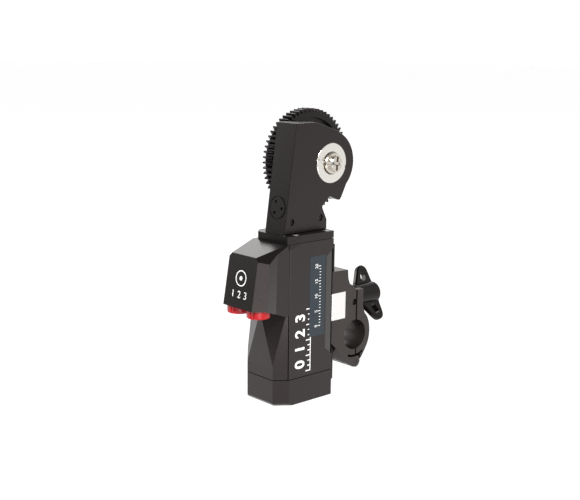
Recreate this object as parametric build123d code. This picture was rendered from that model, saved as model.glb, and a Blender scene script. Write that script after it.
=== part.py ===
# Lens focus motor with a rod clamp.
# Origin: centre of the base cap's bottom face. +Z up, -Y is the control box side,
# +Y is the rod clamp side, +X is the side with the label and the bearing retainer.
import os
from math import acos, atan2, cos, degrees, pi, radians, sin, sqrt, tan

from build123d import *

# Clearances
RUN = 0.05            # radial running clearance of a shaft in its hole
SLIDE = 0.08          # gap beside a sliding piece
SEAT = 0.02           # gap beside a piece that is pressed or glued in
FREE = 0.3            # gap between pieces that pass each other

# Housing
HALF_WIDTH = 12.2     # housing centre to its side face
FRONT_Y = -16.9       # front face at the base
REAR_Y = 16.9         # rear face
SEAM_Y = -11.0        # joint between front shell and main housing
BASE_TOP = 12.5       # joint between base cap and housing
BASE_FLOOR = 2.2
HOUSING_TOP = 76.9
WALL = 1.7
REAR_WALL = 2.3
CABLE_HALF = 4.0      # half width of the cable opening between the two parts
CABLE_Z = (30.0, 44.0)
CORNER_X = 4.6        # front right corner chamfer, across
CORNER_Y = 6.1        # front right corner chamfer, along
LEFT_CORNER = 1.5     # front left corner chamfer
FRONT_BEVEL = 1.3     # bevel under the front edge of the base
SEAL = 0.35           # thickness of the seals in the joints
SEAL_INSET = 0.45     # how far the seals lie inside the outline
REAR_EDGE = 0.25      # chamfer on the rear corners
REAR_CUT_Y = 12.1     # where the long cut on the rear corners starts
REAR_CUT_X = 1.35
REAR_CUT_LOW = 24.2
REAR_CUT_HIGH = 68.6
REAR_CUT_RISE = 0.85  # slope of the ramps at its ends

# Control box on the front shell
BOX_TOP_FRONT = (-28.15, 72.6)     # Y and Z of the upper front edge
BOX_TOP_REAR_Z = 77.2              # height of the sloping top at the flange
FLANGE_FRONT_Y = -12.3
BOX_LOW_FRONT = (-32.05, 48.5)     # Y and Z of the lower front edge
BOX_FACE_TOP = (8.6, -28.18, 72.42)  # corner of the front face at its top edge
BOX_LEVELS = (69.8, 48.3)          # heights at which the box's corners are given
BOX_FACE_HALF = (10.05, 10.2)      # half width of the front face at the two levels
BOX_SIDE_X = (13.2, 14.4)          # widest corner at the two levels
BOX_SIDE_Y = (-24.2, -26.0)
BOX_CREASE_Y = (-18.7, -19.2)      # where the box meets the flat side
BOX_ROOF_REAR = 11.6               # X of the rear end of the facet beside the roof
BOX_FLOOR_REAR = (-13.1, 43.6)     # Y and Z of the rear end of the sloping floor
BOX_FLOOR_FLAT_Y = -26.8
BOW_TIP = (1.75, -18.4, 40.0)      # narrow top of the front wedge
BOW_FOOT = (7.95, 18.0)            # X and Z of the lower end of the facet on the right
BOW_SIDE = (11.0, 43.0)            # X and Z of its upper end on the corner chamfer
BOW_FOOT_LEFT = (-10.7, 18.5)      # X and Z of the lower end of the facet on the left
BOX_WALL = 1.6

# Sockets and dust caps
SOCKET_X = 6.95
SOCKET_Y = -25.3
SOCKET_R = 4.2
SOCKET_FLANGE_R = 4.7
SOCKET_BORE = 3.3
SOCKET_TIP = 45.7
SOCKET_TOP = 54.8
SOCKET_PIN_R = 0.35
SOCKET_PIN_RING = 2.0
SOCKET_PINS = 4
PIN_TIP = 51.2
CAP_R = 5.5
CAP_LOW = 44.4
CAP_FLOOR = 0.9
CAP_NOTCHES = 3
CAP_NOTCH_R = 1.0
CAP_NOTCH_TURN = -70.0
POCKET_TOP = 48.9

# Push button on the control box
BUTTON_Z = 62.1
BUTTON_R = 3.1
LIGHT_RING_IN = BUTTON_R + 0.07
LIGHT_RING_OUT = 3.7
BUTTON_THICK = 2.2
BUTTON_DOT_R = 1.0
BUTTON_TRAVEL = 0.6

# Flange and arm
FLANGE_LOW = HOUSING_TOP
FLANGE_TOP = 80.6
FLANGE_LEFT = -8.9    # left end of the flange's front edge
FLANGE_RIGHT = 11.7
FLANGE_BEND_Y = -5.0
FLANGE_REAR_Y = 16.6
ARM_HALF = 6.65       # half the arm's thickness
ARM_WALL = 1.75
ARM_FOOT = (-9.8, 17.2)            # front and rear Y of the arm on the flange
ARM_TOP_Z = 131.1
ARM_TOP = (-2.9, 9.9)              # front and rear Y of the arm's top edge
HEAD_R = 15.0
HEAD_SLOPE_END = (24.5, 126.5)
ARM_CHAMFER = 0.25
ARM_CHIN = [(26.9, 95.2), (25.6, 93.4), (19.1, 96.0), (14.1, 91.5)]
ARM_SCREW_R = 0.65
ARM_SCREW_BOSS_R = 2.1
ARM_SCREW_HEAD = 1.5
ARM_SCREW_HEAD_H = 0.6
ARM_SCREW_LENGTH = 3.6
ARM_SCREW_DEEP = 0.75             # of the heads under the cover's face
ARM_SCREWS = [(ARM_FOOT[0] + 4.5, FLANGE_TOP + 5.4), (ARM_FOOT[1] - 4.3, FLANGE_TOP + 5.8)]
ARM_BACK = ARM_WALL - ARM_HALF     # inner face of the arm's closed side
ARM_LID = ARM_HALF - ARM_WALL      # inner face of the cover
PLUG_Z = 92.4
PLUG_R = 5.45
PLUG_THICK = 1.6
PLUG_PROUD = 0.15
PLUG_HOLE_RING = 3.0
PLUG_HOLE_R = 0.75
PLUG_HOLE_TURN = -3.0

# Drive gear and output shaft
AXIS_Y = 19.35
AXIS_Z = 111.75
GEAR_TEETH = 60
GEAR_MODULE = 0.8
GEAR_FACE = 6.5
GEAR_GAP = 0.95       # arm to gear
RIM_R = 20.6
WEB = 2.6
HUB_R = 8.6
HUB_PLATE = 0.7       # flange on the shaft that the gear is screwed to
WEB_HOLES = 6
WEB_HOLE_RING = 14.1
WEB_HOLE_R = 3.1
GEAR_SCREW_RING = 6.2
GEAR_NEAR = -ARM_HALF - GEAR_GAP
GEAR_FAR = GEAR_NEAR - GEAR_FACE
SHAFT_R = 4.0
BEARING_R = 7.6
BEARING_WIDTH = 3.4
BEARING_SEAT_WALL = 1.5
BALLS = 9
BALL_R = 0.75
RACE_R = (SHAFT_R + BEARING_R) / 2
RACE_GAP = 0.55       # from the ball circle to each ring
RETAINER_R = 9.5
RETAINER_THICK = 1.3  # inside the cover
NOTCH_TURN = -14.0
NOTCH = (1.4, 1.1)    # depth and width of the spanner notches
RETAINER_PROUD = 0.5
RETAINER_BORE = 5.25
COLLET_R = 4.95
COLLET_STEP = 1.4     # from the retainer's face to the collet's shoulder
COLLET_NOSE_R = 3.5
COLLET_NOSE = 2.2     # from the shoulder to the end of the nose
COLLET_SLOT = 1.25
COLLET_SLOT_DEEP = 2.6
COLLET_TURN = -5.0
COLLET_SCREW_R = 1.2
COLLET_END = ARM_HALF + RETAINER_PROUD + COLLET_STEP + COLLET_NOSE
END_SCREW_R = 1.5     # screw that holds the gear on the end of the shaft
END_SCREW_HEAD = 3.0
END_SCREW_HEAD_H = 1.4
END_SCREW_LENGTH = 5.5
END_WASHER = 0.6
END_WASHER_R = 5.0
BEARING_LEFT = 1.1 - ARM_HALF
BEARING_RIGHT = ARM_HALF - RETAINER_THICK - BEARING_WIDTH

# Gear train in the arm
TRAIN_MODULE = 0.5
TRAIN_ADDENDUM = 0.85              # short teeth, in modules
TRAIN_BACKLASH = 0.06
OUTPUT_TEETH = 44
IDLER_TEETH = 24
IDLER_BOSS_R = 2.2
PINION_TEETH = 12
BEVEL_WHEEL_TEETH = 22
BEVEL_PINION_TEETH = 12
TRAIN_GAP = 0.55      # from the spur gears to the bearings
TRAIN_SPAN = (BEARING_LEFT + BEARING_WIDTH + TRAIN_GAP, BEARING_RIGHT - TRAIN_GAP)
MOTOR_Y = 2.0
STUB_R = 1.5
PIN_R = 0.75
PIN_SEAT_DEEP = 1.1   # of the holes that the pins' ends sit in
PINION_SHAFT_R = 1.6
PINION_SHAFT_IN = 7.6               # into the gearhead
FLANK_STEPS = 3       # points along each flank of a tooth
BEVEL_KEPT = 0.68     # size of a bevel gear's small end against its large end
PINION_R = PINION_TEETH * TRAIN_MODULE / 2
IDLER_R = IDLER_TEETH * TRAIN_MODULE / 2
OUTPUT_R = OUTPUT_TEETH * TRAIN_MODULE / 2
BEVEL_WHEEL_R = BEVEL_WHEEL_TEETH * TRAIN_MODULE / 2
BEVEL_PINION_R = BEVEL_PINION_TEETH * TRAIN_MODULE / 2
LAY_Z = AXIS_Z - sqrt((PINION_R + 2 * IDLER_R + OUTPUT_R) ** 2 - (AXIS_Y - MOTOR_Y) ** 2)
TRAIN_TURN = atan2(AXIS_Z - LAY_Z, AXIS_Y - MOTOR_Y)
IDLER_Y = MOTOR_Y + (PINION_R + IDLER_R) * cos(TRAIN_TURN)
IDLER_Z = LAY_Z + (PINION_R + IDLER_R) * sin(TRAIN_TURN)

# Motor
MOTOR_R = 10.0
MOTOR_LOW = 24.0
MOTOR_TOP = 54.0
GEARHEAD_R = 9.4
GEARHEAD_GROOVES = (2.5, 17.0)     # above its lower face
ROTOR_R = 1.0
ENCODER_R = 7.0
ENCODER_Z = 19.4
ENCODER_THICK = 0.8
ROTOR_IN = 8.6        # length of the rotor inside the motor
BOARD = 1.4           # thickness of the circuit boards

# Screws of the housing
SCREW_SHANK = 0.95
SCREW_HEAD = 1.7
SCREW_HEAD_H = 1.5
SCREW_ROOM = 0.1      # round a screw head, and above it
BOSS_R = 2.4
SCREW_X = HALF_WIDTH - 2.45
CORNER_SCREWS = [(SCREW_X, -5.3), (SCREW_X, 14.3), (-SCREW_X, -5.3), (-SCREW_X, 14.3)]
BASE_HEAD_DEEP = 0.3  # how far the heads lie inside the base
THREAD_DEEP = 8.0     # of the screws in the main housing

# Rooms and boards inside the front shell
BOX_ROOM_TOP = 68.0
BOX_ROOM_LOW = 51.5
BOX_ROOM_HALF = 9.0
BOW_ROOM = (6.0, -14.6)            # half width and front Y
POCKET_RIM = 0.5
BOARD_Y = -13.6                    # rear face of the control board
BOARD_HALF = 8.6
CHIP_HIGH = 1.0
CHIPS = [(0, 60, 6, 6), (-5.5, 58, 2.5, 4), (5.4, 63, 2.4, 2.4)]  # X, Z, width and height
POST_R = 1.4
PILOT_R = 0.55
BOARD_POSTS = [(-7.2, 54.0), (7.2, 54.0), (-7.2, 65.3), (7.2, 65.3)]
SWITCH_BOARD_DEEP = 4.6
SWITCH_BOARD_H = 9.0
SWITCH = 3.6          # width of the switch
SWITCH_H = 1.2
SWITCH_BOSS_X = 7.2
ENCODER_BOARD_Z = 15.6
ENCODER_POSTS = [(-5.4, -6.0), (5.4, -6.0), (-5.4, 9.5), (5.4, 9.5)]
ENCODER_SLOTS = 16

# Label on the side
LABEL_Y = (1.5, 11.3)
LABEL_Z = (31.2, 69.8)
LABEL_THICK = 0.3

# Rear rail and clamp
RAIL_NECK = 5.6       # half width of the rail's neck
RAIL_NECK_Y = 20.9
RAIL_HEAD = 7.4       # half width of its head
RAIL_Y = 22.3         # rear face of the rail
RAIL_Z = (5.4, 72.8)
RAIL_SCREWS = [(-3.5, 16.5), (3.5, 16.5), (-3.5, 67.0), (3.5, 67.0)]
RAIL_SCREW_DEEP = 2.0
CLAMP_HALF = 9.0      # half the clamp's width along the rod
CLAMP_FRONT = 19.45   # front edge of the clamp's lips
CLAMP_TOP = 59.7
CLAMP_BACK = [(30.0, 59.3), (30.4, 54.7), (31.5, 52.1), (33.9, 50.7)]
CLAMP_FOOT = [(31.7, 11.2), (22.7, 15.4), (22.7, 21.1), (22.0, 21.6)]
CLAMP_LIP_LOW = 24.1  # lower end of the lips
ROD_R = 7.5
ROD_Y = 35.5
ROD_Z = 25.8
ROD_CHAMFER = 0.9
RING_R = 10.4
SPLIT_Y = 36.0        # end of the fixed half
SPLIT_GAP = 1.0
SLIT_TOP = 48.3       # top of the split and of the ear
HINGE_Y = 36.5
HINGE_Z = 11.8
HINGE_R = 1.25
KNUCKLE_R = 3.05
CRESCENT_GAP = 1.2    # between the ring and the hinge
CRESCENT_Y = (31.2, 41.4)
FACET = [(22.5, 21.3), (32.1, 13.0)]   # Y and Z of the upper edge of the facets under the clamp
FACET_LOW = (3.5, 25.2, 14.3)          # depth from the side, Y and Z of a point on their lower edge
TONGUE_HALF = 3.4     # half width of the jaw's hinge tongue
PIVOT_Y = 34.9
PIVOT_Z = 42.4
PIVOT_R = 1.6
PIVOT_DEEP = 1.4      # of the pin's ends in the clamp's sides
EYE_R = 3.3
EYE_HALF = 2.3
EAR_R = 6.15          # from the pivot to the face that the washer bears on
EAR_LOW = 39.5        # lower end of the ear's flat face
JAW_BACK = [(42.5, 35.6), (44.9, 32.2), (46.1, 26.9), (45.4, 21.4), (43.0, 16.7), (40.6, 13.3)]
STUD_R = 2.0
STUD_END = 54.4
WASHER_R = 5.2
WASHER_THICK = 1.85
WING_HALF = 1.6       # half the thickness of the knob's wings
KNOB_HUB_R = 5.5
KNOB_LENGTH = 15.3
KNOB_START = EAR_R + WASHER_THICK + 2 * RUN
KNOB_TURN = 31.0      # lean of the wings toward -X
# Outline of a wing, radius and distance from the start of the hub
WING = [
    (4.9, 2.6), (7.8, 4.9), (10.4, 6.6), (13.0, 8.4), (14.7, 11.0), (13.6, 13.9), (10.0, 14.9), (5.3, 15.2),
]
WING_EDGE = 0.8       # rounding of the wings' edges
WING_WINDOW = (8.9, 10.2)
WING_WINDOW_SIZE = (5.6, 3.2)
WING_WINDOW_TURN = 24.0
RELEASE_Y = (CLAMP_FRONT, 28.8)
RELEASE_Z = (35.4, 48.7)
RELEASE_PLATE = 1.0   # thickness of the part beside the rail
RELEASE_BODY_Y = 23.2 # front of the part behind the rail
RELEASE_DEPTH = 9.2
RELEASE_TRAVEL = 0.6
RELEASE_PROUD = 0.1
RELEASE_MIDDLE = ((RELEASE_BODY_Y + RELEASE_Y[1]) / 2, (RELEASE_Z[0] + RELEASE_Z[1]) / 2)
SPRING_HOLE_R = 2.2
SPRING_HOLE = 6.5     # depth of the spring's hole in the block
SPRING_WIRE = 0.25
SPRING_TURNS = 4

BIG = 200.0


# Small builders

def side_plane(x):
    """Plane across X, with local x along Y and local y along Z."""
    return Plane(origin=(x, 0, 0), x_dir=(0, 1, 0), z_dir=(1, 0, 0))


def prism_x(points, x0, x1):
    """Outline given in (Y, Z), drawn out from x0 to x1."""
    return extrude(side_plane(x0) * make_face(Polyline(*points, close=True)), x1 - x0)


def prism_z(points, z0, z1):
    """Outline given in (X, Y), drawn out from z0 to z1."""
    return extrude(Pos(0, 0, z0) * make_face(Polyline(*points, close=True)), z1 - z0)


def block(x0, x1, y0, y1, z0, z1):
    """Box between two corners."""
    centre = ((x0 + x1) / 2, (y0 + y1) / 2, (z0 + z1) / 2)
    return Pos(*centre) * Box(x1 - x0, y1 - y0, z1 - z0)


def rod_x(y, z, radius, x0, x1):
    """Cylinder along X."""
    return side_plane(x0) * Pos(y, z, (x1 - x0) / 2) * Cylinder(radius, x1 - x0)


def rod_y(x, z, radius, y0, y1):
    """Cylinder along Y."""
    return Pos(x, (y0 + y1) / 2, z) * Rot(90, 0, 0) * Cylinder(radius, y1 - y0)


def rod_z(x, y, radius, z0, z1):
    """Cylinder along Z."""
    return Pos(x, y, (z0 + z1) / 2) * Cylinder(radius, z1 - z0)


def ring_x(y, z, outer, inner, x0, x1):
    """Ring along X."""
    return rod_x(y, z, outer, x0, x1) - rod_x(y, z, inner, x0 - 1, x1 + 1)


def cut_off(shape, point, normal):
    """Take away everything on the side of the plane that the normal points to."""
    tool = Plane(origin=point, z_dir=normal) * Pos(0, 0, BIG / 2) * Box(BIG, BIG, BIG)
    return shape - tool


def plane_normal(a, b, c, outward):
    """Normal of the plane through three points, turned to the outward side."""
    normal = (Vector(*b) - Vector(*a)).cross(Vector(*c) - Vector(*a)).normalized()
    return normal if normal.dot(Vector(*outward)) > 0 else -normal


def mirrored(point):
    """The same point on the other side of the middle plane."""
    return (-point[0], point[1], point[2])


def socket_screw(head_r, head_h, shank_r, length, hex_r):
    """Cap screw along Z with the top of its head at 0."""
    screw = Pos(0, 0, -head_h / 2) * Cylinder(head_r, head_h)
    screw = chamfer(screw.edges().group_by(Axis.Z)[-1], head_r * 0.12)
    screw += Pos(0, 0, -head_h - length / 2) * Cylinder(shank_r, length)
    socket = RegularPolygon(hex_r, 6)
    return screw - extrude(socket, -head_h * 0.6)


def along_x(shape, x, y, z, direction=1):
    """Turn a shape built along Z so that it points along X, and move it."""
    return Plane(origin=(x, y, z), x_dir=(0, 1, 0), z_dir=(direction, 0, 0)) * shape


def save(name, *solids):
    """Write one node."""
    shape = Compound(children=list(solids)) if len(solids) > 1 else solids[0]
    export_step(shape, f"parts/{name}.step")


# Housing outline

def plan(inset=0.0):
    """Outline of the housing seen from above, drawn in by an inset."""
    x = HALF_WIDTH - inset
    y0 = FRONT_Y + inset
    y1 = REAR_Y - inset
    slant = inset * 0.5
    edge = REAR_EDGE
    return [
        (x - CORNER_X + slant, y0), (x, y0 + CORNER_Y - slant), (x, y1 - edge), (x - edge, y1),
        (edge - x, y1), (-x, y1 - edge), (-x, y0 + LEFT_CORNER), (LEFT_CORNER - x, y0),
    ]


def rear_corner_cut(side):
    """Long slanting cut on a rear corner, with a ramp at each end."""
    slope = (REAR_Y - REAR_CUT_Y) / REAR_CUT_X
    beyond = 1.0
    profile = [
        (HALF_WIDTH + beyond, REAR_CUT_Y - beyond * slope),
        (HALF_WIDTH + beyond, REAR_Y + beyond),
        (HALF_WIDTH - REAR_CUT_X - beyond / slope, REAR_Y + beyond),
    ]
    ramp = REAR_CUT_RISE * (REAR_Y + beyond - REAR_CUT_Y)
    cut = prism_z([(side * x, y) for x, y in profile], REAR_CUT_LOW - ramp, REAR_CUT_HIGH + ramp)
    low = (side * HALF_WIDTH, REAR_CUT_Y, REAR_CUT_LOW)
    high = (side * HALF_WIDTH, REAR_CUT_Y, REAR_CUT_HIGH)
    cut = cut_off(cut, low, (0, -REAR_CUT_RISE, -1))
    return cut_off(cut, high, (0, -REAR_CUT_RISE, 1))


def shoulder_cut(shape):
    """Small slanting facet under the flange at the front corner of the side."""
    a = (HALF_WIDTH, -3.6, HOUSING_TOP)
    b = (HALF_WIDTH, SEAM_Y, HOUSING_TOP - 2.6)
    c = (HALF_WIDTH - 0.7, FLANGE_FRONT_Y, HOUSING_TOP)
    shape = cut_off(shape, a, plane_normal(a, b, c, (1, 0, 1)))
    return cut_off(shape, mirrored(a), plane_normal(mirrored(a), mirrored(b), mirrored(c), (-1, 0, 1)))


def label_recess():
    """Shallow recess for the side label."""
    return block(HALF_WIDTH - LABEL_THICK, HALF_WIDTH + 1, *LABEL_Y, *LABEL_Z)


def main_housing():
    """Rear part of the housing, open at the front, the top and the bottom."""
    z0 = BASE_TOP + SEAL
    shape = prism_z(plan(), z0, HOUSING_TOP)
    shape -= block(-BIG, BIG, -BIG, SEAM_Y, 0, BIG)
    inner = HALF_WIDTH - WALL
    cavity = block(-inner, inner, SEAM_Y + WALL, REAR_Y - REAR_WALL, z0 - 1, HOUSING_TOP + 1)
    shape -= cavity
    for x, y in CORNER_SCREWS:
        boss = rod_z(x, y, BOSS_R, HOUSING_TOP - THREAD_DEEP - 1, HOUSING_TOP)
        boss += rod_z(x, y, BOSS_R, z0, z0 + THREAD_DEEP + 1)
        shape += boss & cavity
        shape -= rod_z(x, y, SCREW_SHANK + RUN, HOUSING_TOP - THREAD_DEEP, HOUSING_TOP + 1)
        shape -= rod_z(x, y, SCREW_SHANK + RUN, z0 - 1, z0 + THREAD_DEEP)
    for side in (-1, 1):
        shape -= rear_corner_cut(side)
    shape = shoulder_cut(shape)
    shape -= label_recess()
    shape -= block(-CABLE_HALF, CABLE_HALF, SEAM_Y - 1, SEAM_Y + WALL + 1, *CABLE_Z)
    for x, z in BOARD_POSTS:
        shape += rod_y(x, z, POST_R, BOARD_Y, SEAM_Y + 0.2)
        shape -= rod_y(x, z, PILOT_R, BOARD_Y - 1, SEAM_Y)
    for x, z in RAIL_SCREWS:
        shape -= rod_y(x, z, SCREW_SHANK + RUN, REAR_Y - RAIL_SCREW_DEEP, REAR_Y + 1)
    return shape


def front_y(z):
    """Y of the control box's leaning front face at a height."""
    share = (BOX_TOP_FRONT[1] - z) / (BOX_TOP_FRONT[1] - BOX_LOW_FRONT[1])
    return BOX_TOP_FRONT[0] + share * (BOX_LOW_FRONT[0] - BOX_TOP_FRONT[0])


def trim_by(shape, a, b, c, outward):
    """Cut along the plane through three points, and along its mirror image."""
    for side in (1, -1):
        p, q, r = [(side * x, y, z) for x, y, z in (a, b, c)]
        out = (side * outward[0], outward[1], outward[2])
        shape = cut_off(shape, p, plane_normal(p, q, r, out))
    return shape


def box_corners(z):
    """Front, widest and rear corner of the box's outline at a height, on the +X side."""
    high, low = BOX_LEVELS
    share = (z - low) / (high - low)

    def between(pair):
        return pair[1] + share * (pair[0] - pair[1])

    front = Vector(between(BOX_FACE_HALF), front_y(z))
    side = Vector(between(BOX_SIDE_X), between(BOX_SIDE_Y))
    return [front, side, Vector(HALF_WIDTH, between(BOX_CREASE_Y))]


def box_section(z):
    """Outline of the box at a height, drawn past its front and rear corners."""
    front, side, crease = box_corners(z)
    beyond = [front + (front - side) * 0.15, side, crease + (crease - side) * 0.15]
    points = [(p.X, p.Y) for p in beyond]
    points += [(-x, y) for x, y in reversed(points)]
    return Pos(0, 0, z) * make_face(Polyline(*points, close=True))


def control_box():
    """Outer form of the control box, with cut corners."""
    y_rear = SEAM_Y - SEAL
    low, high = BOX_FLOOR_REAR[1] - 1, HOUSING_TOP + 1
    shape = loft([box_section(low), box_section(high)], ruled=True)
    shape += block(-HALF_WIDTH, HALF_WIDTH, min(BOX_CREASE_Y) - 1, y_rear, low, high)
    roof = (BOX_TOP_REAR_Z - BOX_TOP_FRONT[1]) / (FLANGE_FRONT_Y - BOX_TOP_FRONT[0])
    ahead = BOX_LOW_FRONT[0] - 5
    outline = [
        (ahead, BOX_TOP_FRONT[1] + roof * (ahead - BOX_TOP_FRONT[0])), (FLANGE_FRONT_Y, BOX_TOP_REAR_Z),
        (y_rear, BOX_TOP_REAR_Z), (y_rear, BOX_FLOOR_REAR[1]), BOX_FLOOR_REAR,
        (BOX_FLOOR_FLAT_Y, BOX_LOW_FRONT[1]), (ahead, BOX_LOW_FRONT[1]),
    ]
    shape &= prism_x(outline, -2 * HALF_WIDTH, 2 * HALF_WIDTH)
    shape = cut_off(shape, (0, *BOX_TOP_FRONT), front_face_plane(BUTTON_Z).z_dir)
    widest = box_corners(BOX_LEVELS[0])[1]
    top_rear = (BOX_ROOF_REAR, FLANGE_FRONT_Y, BOX_TOP_REAR_Z)
    shape = trim_by(shape, BOX_FACE_TOP, top_rear, (widest.X, widest.Y, BOX_LEVELS[0]), (1, 0, 1))
    return cut_off(shape, (0, 0, HOUSING_TOP), (0, 0, 1))


def bow():
    """Wedge-shaped lower front under the control box."""
    z0 = BASE_TOP + SEAL
    y_rear = SEAM_Y - SEAL
    lean = (BOW_TIP[1] - FRONT_Y) / (BOW_TIP[2] - BOW_FOOT[1])
    z1 = BOX_LOW_FRONT[1]
    outline = [
        (y_rear, z0), (FRONT_Y, z0), (FRONT_Y, BOW_FOOT[1]),
        (FRONT_Y + lean * (z1 - BOW_FOOT[1]), z1), (y_rear, z1),
    ]
    shape = prism_x(outline, -HALF_WIDTH, HALF_WIDTH)
    foot = (BOW_FOOT[0], FRONT_Y, BOW_FOOT[1])
    chamfer_y = FRONT_Y + (BOW_SIDE[0] - HALF_WIDTH + CORNER_X) * CORNER_Y / CORNER_X
    side = (BOW_SIDE[0], chamfer_y, BOW_SIDE[1])
    shape = cut_off(shape, foot, plane_normal(foot, BOW_TIP, side, (1, -1, 0)))
    foot = (BOW_FOOT_LEFT[0], FRONT_Y, BOW_FOOT_LEFT[1])
    tip, side = mirrored(BOW_TIP), (-HALF_WIDTH, *BOX_FLOOR_REAR)
    shape = cut_off(shape, foot, plane_normal(foot, tip, side, (-1, -1, 0)))
    shape = cut_off(shape, (HALF_WIDTH, FRONT_Y + CORNER_Y, 0), (CORNER_Y, -CORNER_X, 0))
    return cut_off(shape, (-HALF_WIDTH, FRONT_Y + LEFT_CORNER, 0), (-1, -1, 0))


def front_face_plane(z):
    """Plane on the leaning front face, with its normal pointing out."""
    out = (0, BOX_LOW_FRONT[1] - BOX_TOP_FRONT[1], BOX_TOP_FRONT[0] - BOX_LOW_FRONT[0])
    return Plane(origin=(0, front_y(z), z), x_dir=(1, 0, 0), z_dir=out)


def front_shell():
    """Front part of the housing: control box above, wedge below."""
    y_rear = SEAM_Y - SEAL
    shape = control_box() + bow()
    beside_flange = block(-BIG, BIG, FLANGE_FRONT_Y, BIG, -BIG, BIG)
    shape = (shape - beside_flange) + shoulder_cut(shape & beside_flange)
    wall_y = [front_y(z) + BOX_WALL for z in (BOX_ROOM_TOP, BOX_ROOM_LOW)]
    outline = [
        (wall_y[0], BOX_ROOM_TOP), (y_rear + 1, BOX_ROOM_TOP + 3),
        (y_rear + 1, BOX_ROOM_LOW), (wall_y[1], BOX_ROOM_LOW),
    ]
    room = prism_x(outline, -BOX_ROOM_HALF, BOX_ROOM_HALF)
    shape -= room
    shape -= block(-BOW_ROOM[0], BOW_ROOM[0], BOW_ROOM[1], y_rear + 1, BASE_TOP + 4, BOX_ROOM_LOW + 1)
    shape -= socket_pocket()
    face = front_face_plane(BUTTON_Z)
    shape -= face * Cylinder(LIGHT_RING_OUT + SEAT, 4 * BOX_WALL)
    for side in (-1, 1):
        shape -= rod_z(side * SOCKET_X, SOCKET_Y, SOCKET_R + SEAT, POCKET_TOP - 1, BOX_ROOM_LOW + 1)
        shape -= rod_z(side * SOCKET_X, SOCKET_Y, SOCKET_FLANGE_R + 0.2, BOX_ROOM_LOW, SOCKET_TOP + 0.5)
        centre = -SWITCH_BOARD_DEEP / 2
        boss = face * Pos(side * SWITCH_BOSS_X, 0, centre) * Cylinder(POST_R, SWITCH_BOARD_DEEP)
        shape += boss & room
    return shape


def socket_pocket():
    """Shallow pocket in the floor of the box, inside a narrow rim."""
    front, side, crease = box_corners(POCKET_TOP)
    rim = POCKET_RIM
    points = [(front.X - rim, front.Y + rim), (side.X - rim, side.Y + rim)]
    points += [(crease.X - rim, crease.Y - rim)]
    points += [(-x, y) for x, y in reversed(points)]
    return prism_z(points, BOX_FLOOR_REAR[1] - 1, POCKET_TOP)


def base_cap():
    """Bottom cap with posts for the encoder board."""
    shape = prism_z(plan(), 0, BASE_TOP)
    shape -= prism_z(plan(WALL), BASE_FLOOR, BASE_TOP + 1)
    shape = cut_off(shape, (0, FRONT_Y, FRONT_BEVEL), (0, -1, -1))
    slope = Vector(CORNER_Y, -CORNER_X, 0).normalized()
    corner = (HALF_WIDTH, FRONT_Y + CORNER_Y, FRONT_BEVEL)
    shape = cut_off(shape, corner, slope + Vector(0, 0, -1))
    for x, y in CORNER_SCREWS:
        shape += rod_z(x, y, BOSS_R, 1, BASE_TOP) & prism_z(plan(WALL / 2), 0, BASE_TOP)
        shape -= rod_z(x, y, SCREW_SHANK + SCREW_ROOM, -1, BASE_TOP + 1)
        shape -= rod_z(x, y, SCREW_HEAD + SCREW_ROOM, -1, SCREW_HEAD_H + BASE_HEAD_DEEP)
    for x, y in ENCODER_POSTS:
        shape += rod_z(x, y, POST_R, BASE_FLOOR - 0.2, ENCODER_BOARD_Z)
    return shape


def base_seal():
    """Thin seal in the joint above the base cap."""
    shape = prism_z(plan(SEAL_INSET), BASE_TOP, BASE_TOP + SEAL)
    shape -= prism_z(plan(WALL), BASE_TOP - 1, BASE_TOP + 1)
    for x, y in CORNER_SCREWS:
        ear = rod_z(x, y, BOSS_R, BASE_TOP, BASE_TOP + SEAL)
        shape += ear & prism_z(plan(SEAL_INSET), BASE_TOP, BASE_TOP + SEAL)
        shape -= rod_z(x, y, SCREW_SHANK + SCREW_ROOM, BASE_TOP - 1, BASE_TOP + 1)
    return shape


def front_seal():
    """Thin seal between the front shell and the main housing."""
    low = BASE_TOP + SEAL + SEAL_INSET
    high = HOUSING_TOP - 2.6 - SEAL_INSET
    half = HALF_WIDTH - SEAL_INSET
    shape = block(-half, half, SEAM_Y - SEAL, SEAM_Y, low, high)
    inner = half - 2.0
    return shape - block(-inner, inner, SEAM_Y - 1, SEAM_Y + 1, low + 2, high - 2)


def flange_screws():
    """Four cap screws that hold the arm's flange."""
    length = SCREW_ROOM + FLANGE_TOP - SCREW_HEAD_H - FLANGE_LOW + THREAD_DEEP - 1.5
    one = socket_screw(SCREW_HEAD, SCREW_HEAD_H, SCREW_SHANK, length, SCREW_HEAD * 0.5)
    return [Pos(x, y, FLANGE_TOP - SCREW_ROOM) * one for x, y in CORNER_SCREWS]


def base_screws():
    """Four cap screws that hold the base cap from below."""
    length = BASE_TOP + SEAL - BASE_HEAD_DEEP - SCREW_HEAD_H + THREAD_DEEP - 1.5
    one = Rot(180, 0, 0) * socket_screw(SCREW_HEAD, SCREW_HEAD_H, SCREW_SHANK, length, SCREW_HEAD * 0.5)
    return [Pos(x, y, BASE_HEAD_DEEP) * one for x, y in CORNER_SCREWS]


def label_plate():
    gap = SEAT
    return block(
        HALF_WIDTH - LABEL_THICK + SEAT / 2, HALF_WIDTH + 0.06,
        LABEL_Y[0] + gap, LABEL_Y[1] - gap, LABEL_Z[0] + gap, LABEL_Z[1] - gap,
    )


# Button and electronics

def light_ring():
    """Clear ring round the push button, flush with the leaning face."""
    face = front_face_plane(BUTTON_Z)
    length = BUTTON_THICK
    ring = face * Pos(0, 0, -length / 2) * Cylinder(LIGHT_RING_OUT, length)
    return ring - face * Cylinder(LIGHT_RING_IN, 8)


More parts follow.
